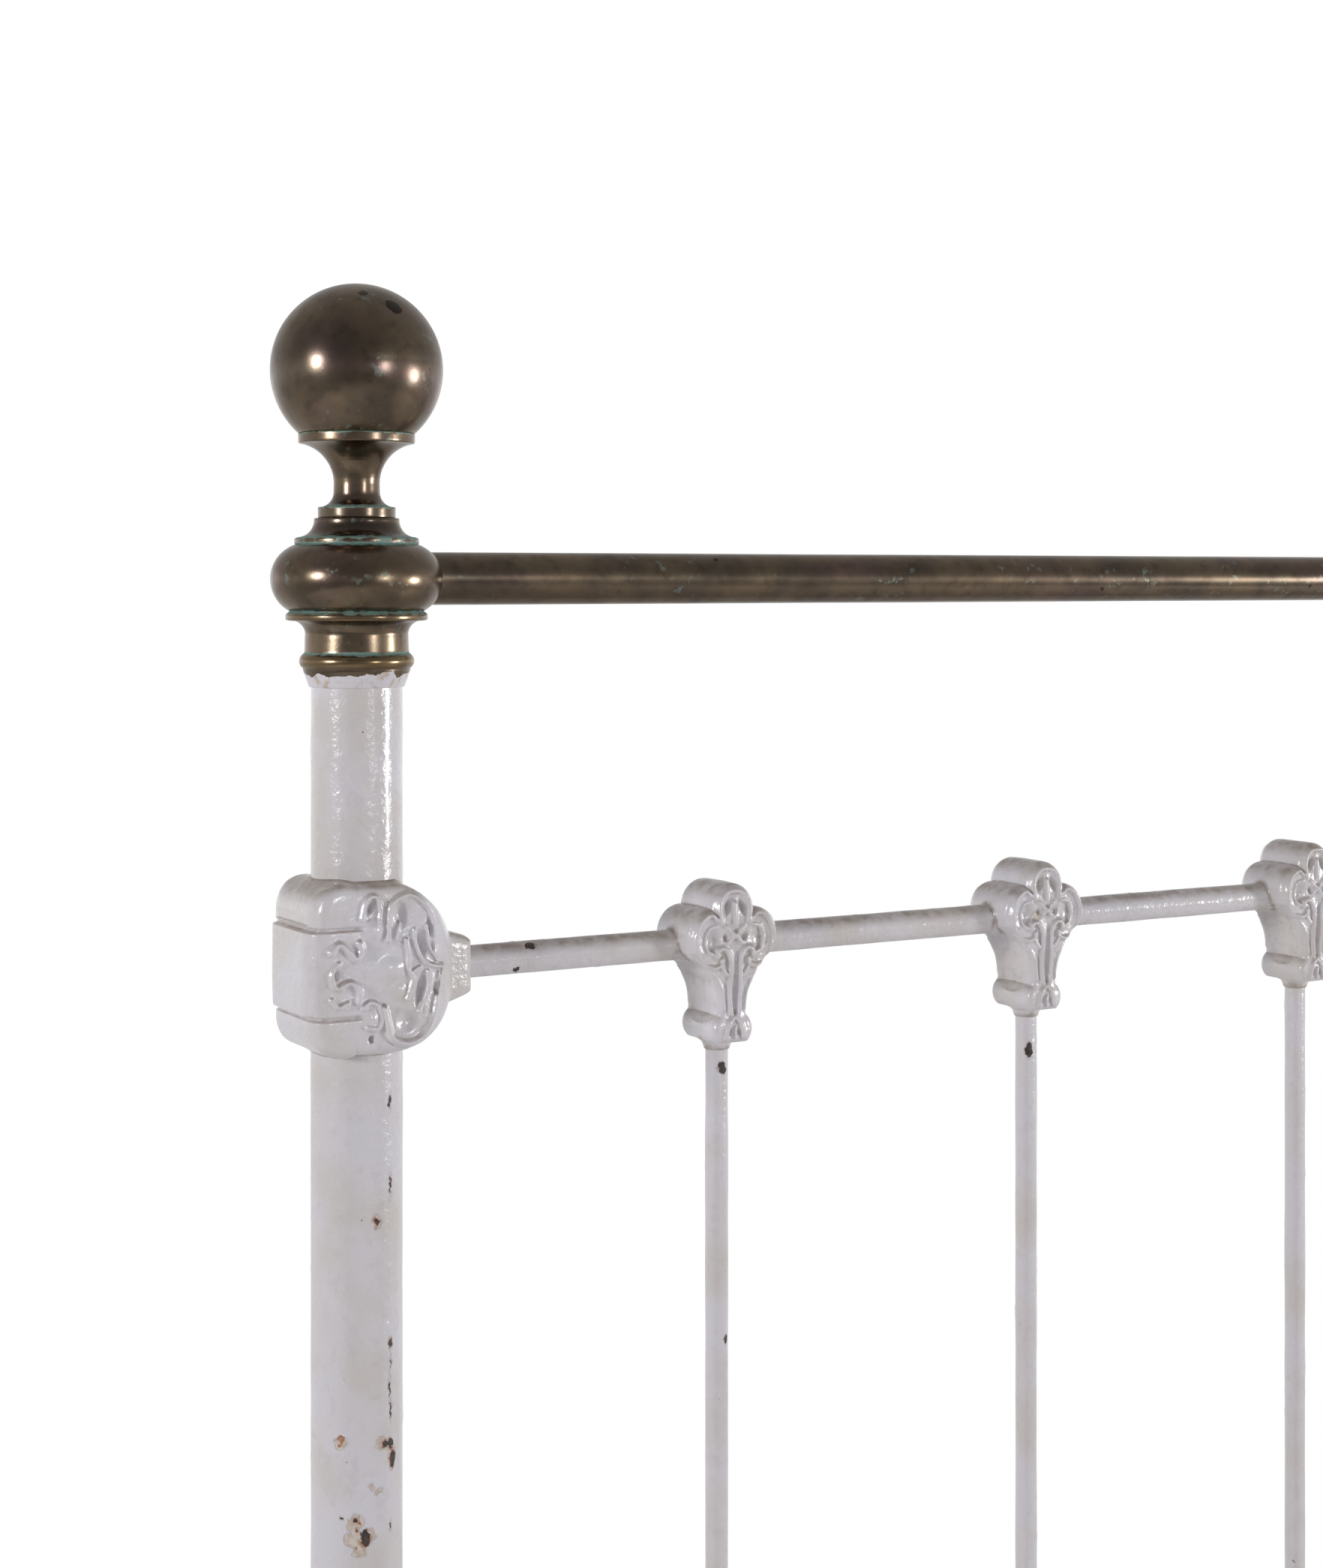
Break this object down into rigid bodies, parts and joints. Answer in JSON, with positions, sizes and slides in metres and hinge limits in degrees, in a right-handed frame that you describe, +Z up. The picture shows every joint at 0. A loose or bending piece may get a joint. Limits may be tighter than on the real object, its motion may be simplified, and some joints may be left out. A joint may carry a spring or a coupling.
{
  "type": "metal bed frame",
  "caption": "Cast-iron and brass bedstead: tube posts with brass ball finials and top rails, spindle panels with ornate castings, hooked side irons, flat laths and casters.",
  "frame": {"origin": "on the floor, under the middle of the bed", "axes": "+Z up; +Y along the bed towards the head end; +X across the bed, to the right of someone who stands at the foot end and looks at the head end"},
  "size_m": [1.4632, 2.0212, 1.3418],
  "materials": {
    "white_paint": "thick glossy off-white paint, aged, chipped to dark iron",
    "aged_brass": "dark brown patina, soft shine, traces of verdigris",
    "side_iron_paint": "off-white paint, worn to dark iron along the edges",
    "lath_steel": "dark mill scale with light rust",
    "plain_iron": "bare, dark",
    "caster_iron": "black, worn, slight rust",
    "caster_steel": "dull",
    "caster_china": "glossy ivory glaze, worn tread"
  },
  "bodies": {
    "bed_frame": {"cross_laths": "lath_steel", "finial_studs": "plain_iron", "foot_brass_rail": "aged_brass", "foot_finial_ball_left": "aged_brass", "foot_finial_ball_right": "aged_brass", "foot_finial_neck_left": "aged_brass", "foot_finial_neck_right": "aged_brass", "foot_lower_castings": "white_paint", "foot_lower_corner_casting_left": "white_paint", "foot_lower_corner_casting_right": "white_paint", "foot_lower_rod": "white_paint", "foot_post_left": "white_paint", "foot_post_right": "white_paint", "foot_rail_knob_left": "aged_brass", "foot_rail_knob_right": "aged_brass", "foot_side_iron_hook_left": "side_iron_paint", "foot_side_iron_hook_right": "side_iron_paint", "foot_spindles": "white_paint", "foot_upper_castings": "white_paint", "foot_upper_corner_casting_left": "white_paint", "foot_upper_corner_casting_right": "white_paint", "foot_upper_rod": "white_paint", "head_brass_rail": "aged_brass", "head_finial_ball_left": "aged_brass", "head_finial_ball_right": "aged_brass", "head_finial_neck_left": "aged_brass", "head_finial_neck_right": "aged_brass", "head_lower_castings": "white_paint", "head_lower_corner_casting_left": "white_paint", "head_lower_corner_casting_right": "white_paint", "head_lower_rod": "white_paint", "head_post_left": "white_paint", "head_post_right": "white_paint", "head_rail_knob_left": "aged_brass", "head_rail_knob_right": "aged_brass", "head_side_iron_hook_left": "side_iron_paint", "head_side_iron_hook_right": "side_iron_paint", "head_spindles": "white_paint", "head_upper_castings": "white_paint", "head_upper_corner_casting_left": "white_paint", "head_upper_corner_casting_right": "white_paint", "head_upper_rod": "white_paint", "lath_rivets": "lath_steel", "leg_ferrules": "white_paint", "post_plugs": "plain_iron", "side_iron_left": "side_iron_paint", "side_iron_right": "side_iron_paint"},
    "head_left_caster": {"head_caster_horn_left": "caster_iron", "head_caster_axle_left": "caster_steel"},
    "head_left_wheel": {"head_caster_wheel_left": "caster_china"},
    "head_right_caster": {"head_caster_horn_right": "caster_iron", "head_caster_axle_right": "caster_steel"},
    "head_right_wheel": {"head_caster_wheel_right": "caster_china"},
    "foot_left_caster": {"foot_caster_horn_left": "caster_iron", "foot_caster_axle_left": "caster_steel"},
    "foot_left_wheel": {"foot_caster_wheel_left": "caster_china"},
    "foot_right_caster": {"foot_caster_horn_right": "caster_iron", "foot_caster_axle_right": "caster_steel"},
    "foot_right_wheel": {"foot_caster_wheel_right": "caster_china"}
  },
  "joints": [
    {"name": "head_left_swivel", "type": "hinge", "parent": "bed_frame", "child": "head_left_caster", "pos_m": [-0.696, 0.975, 0.0493], "axis": [0, 0, 1], "continuous": true},
    {"name": "head_left_roll", "type": "hinge", "parent": "head_left_caster", "child": "head_left_wheel", "pos_m": [-0.696, 0.962, 0.02], "axis": [1, 0, 0], "continuous": true},
    {"name": "head_right_swivel", "type": "hinge", "parent": "bed_frame", "child": "head_right_caster", "pos_m": [0.696, 0.975, 0.0493], "axis": [0, 0, 1], "continuous": true},
    {"name": "head_right_roll", "type": "hinge", "parent": "head_right_caster", "child": "head_right_wheel", "pos_m": [0.696, 0.962, 0.02], "axis": [1, 0, 0], "continuous": true},
    {"name": "foot_left_swivel", "type": "hinge", "parent": "bed_frame", "child": "foot_left_caster", "pos_m": [-0.696, -0.975, 0.0493], "axis": [0, 0, 1], "continuous": true},
    {"name": "foot_left_roll", "type": "hinge", "parent": "foot_left_caster", "child": "foot_left_wheel", "pos_m": [-0.696, -0.988, 0.02], "axis": [1, 0, 0], "continuous": true},
    {"name": "foot_right_swivel", "type": "hinge", "parent": "bed_frame", "child": "foot_right_caster", "pos_m": [0.696, -0.975, 0.0493], "axis": [0, 0, 1], "continuous": true},
    {"name": "foot_right_roll", "type": "hinge", "parent": "foot_right_caster", "child": "foot_right_wheel", "pos_m": [0.696, -0.988, 0.02], "axis": [1, 0, 0], "continuous": true}
  ]
}
